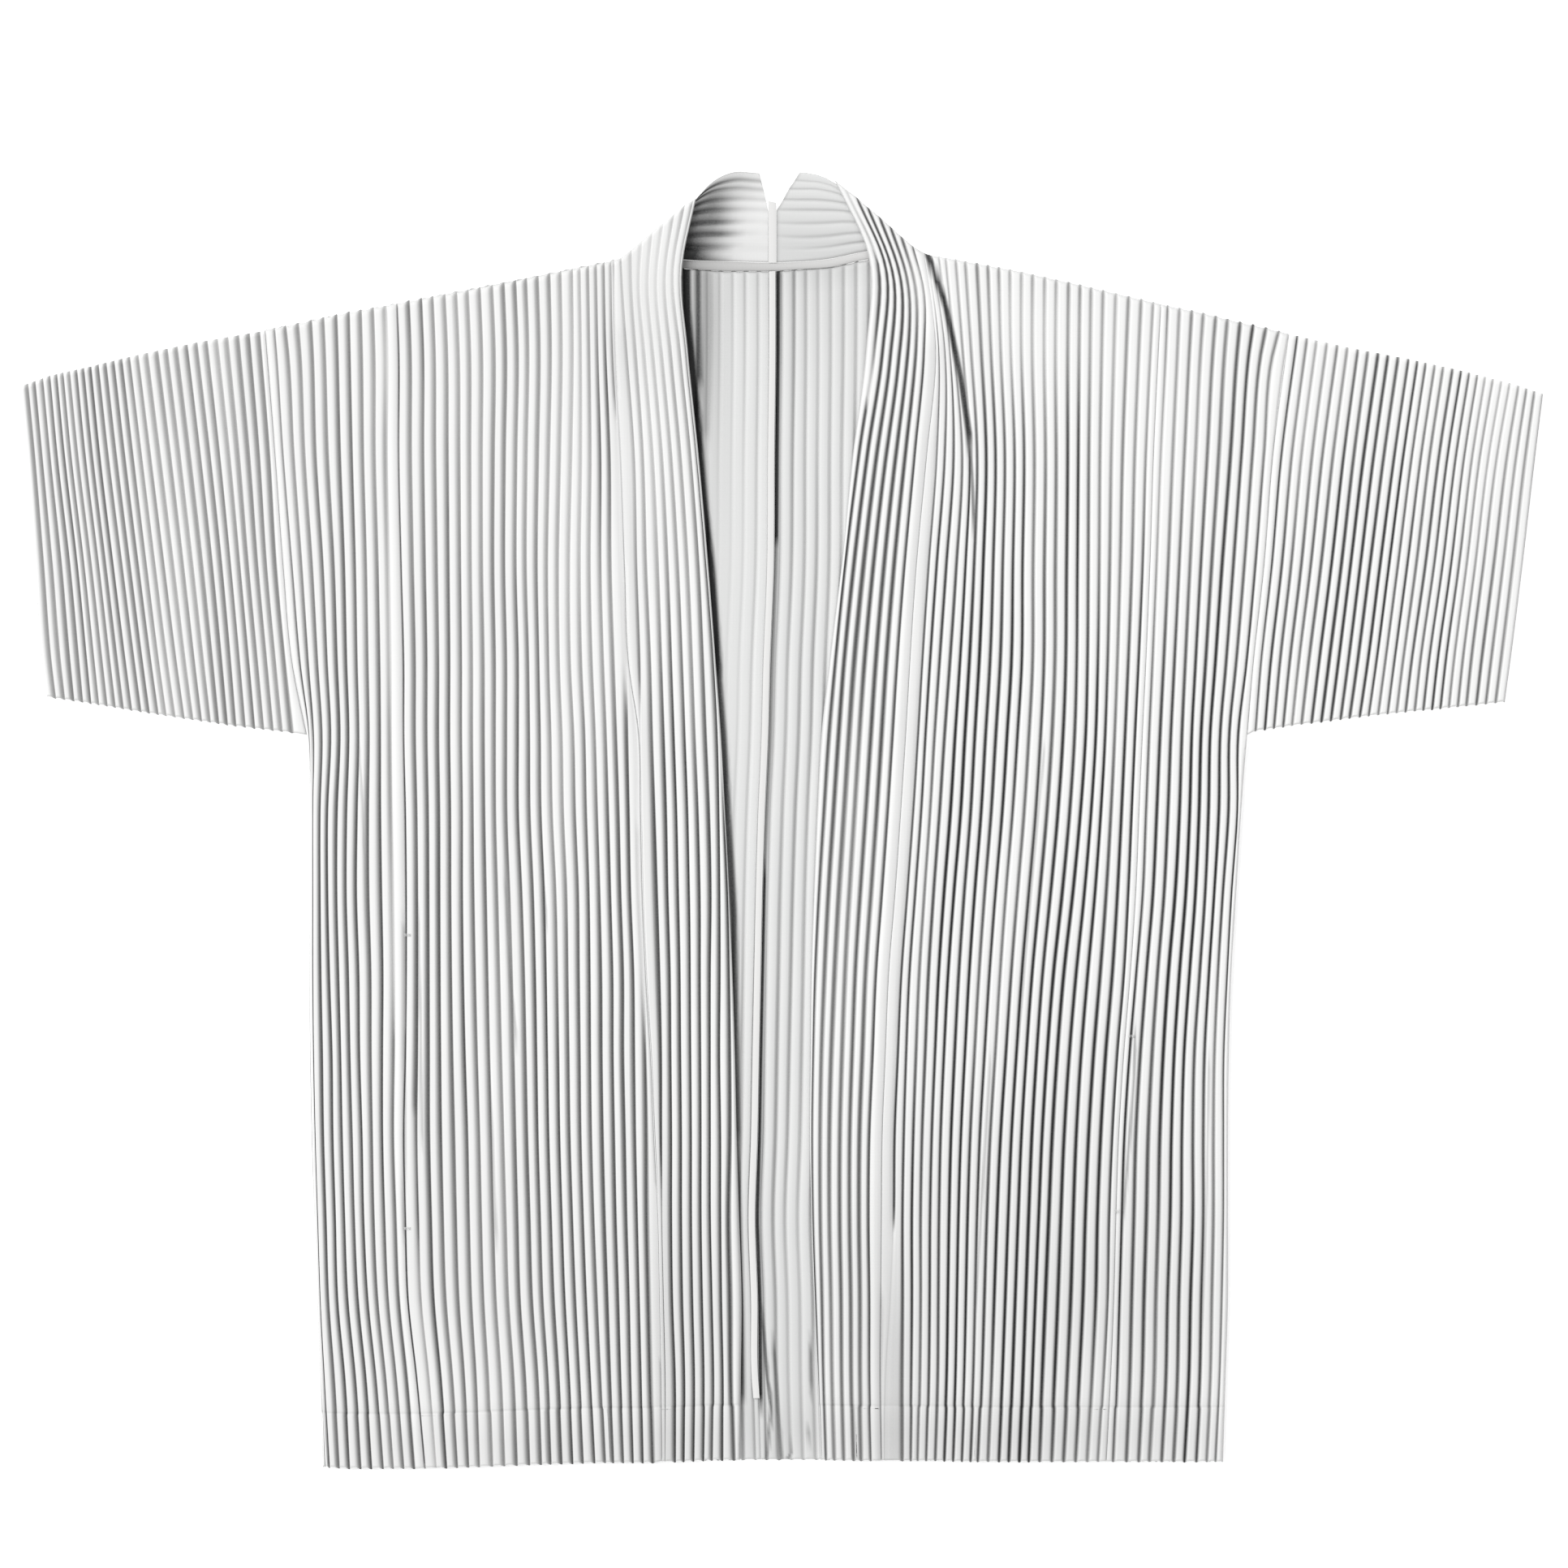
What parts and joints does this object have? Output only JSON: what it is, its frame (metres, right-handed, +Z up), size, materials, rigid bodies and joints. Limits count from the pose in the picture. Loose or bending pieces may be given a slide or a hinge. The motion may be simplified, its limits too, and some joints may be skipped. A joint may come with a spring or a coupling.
{
  "type": "kimono jacket",
  "caption": "Hip-length open-front kimono jacket of accordion-pleated cloth with wide half-length sleeves and a pleated neckband, laid flat.",
  "frame": {"origin": "middle of the bounding box on the plane the jacket lies on", "axes": "+X towards the wearer's left sleeve, +Y towards the neck, +Z up out of the surface the jacket lies on"},
  "size_m": [0.919, 0.782, 0.006],
  "materials": {
    "pleated_cloth": "off-white polyester crepe, heat-set in sharp accordion pleats, soft satin sheen on the crests",
    "inner_cloth": "the same cloth seen from its inner face, softer shallow pleats, matt",
    "binding_cloth": "the same cloth pressed smooth as a narrow binding"
  },
  "bodies": {
    "root": {"back_right": "inner_cloth", "back_left": "inner_cloth", "sleeve_back_right": "inner_cloth", "sleeve_back_left": "inner_cloth", "collar_right": "pleated_cloth", "collar_left": "pleated_cloth", "neck_binding": "binding_cloth", "centre_back_seam": "inner_cloth", "sleeve_front_right": "pleated_cloth", "front_side_right": "pleated_cloth", "front_centre_right": "pleated_cloth", "band_right": "pleated_cloth", "band_left": "pleated_cloth", "front_centre_left": "pleated_cloth", "front_side_left": "pleated_cloth", "sleeve_front_left": "pleated_cloth"}
  },
  "joints": []
}
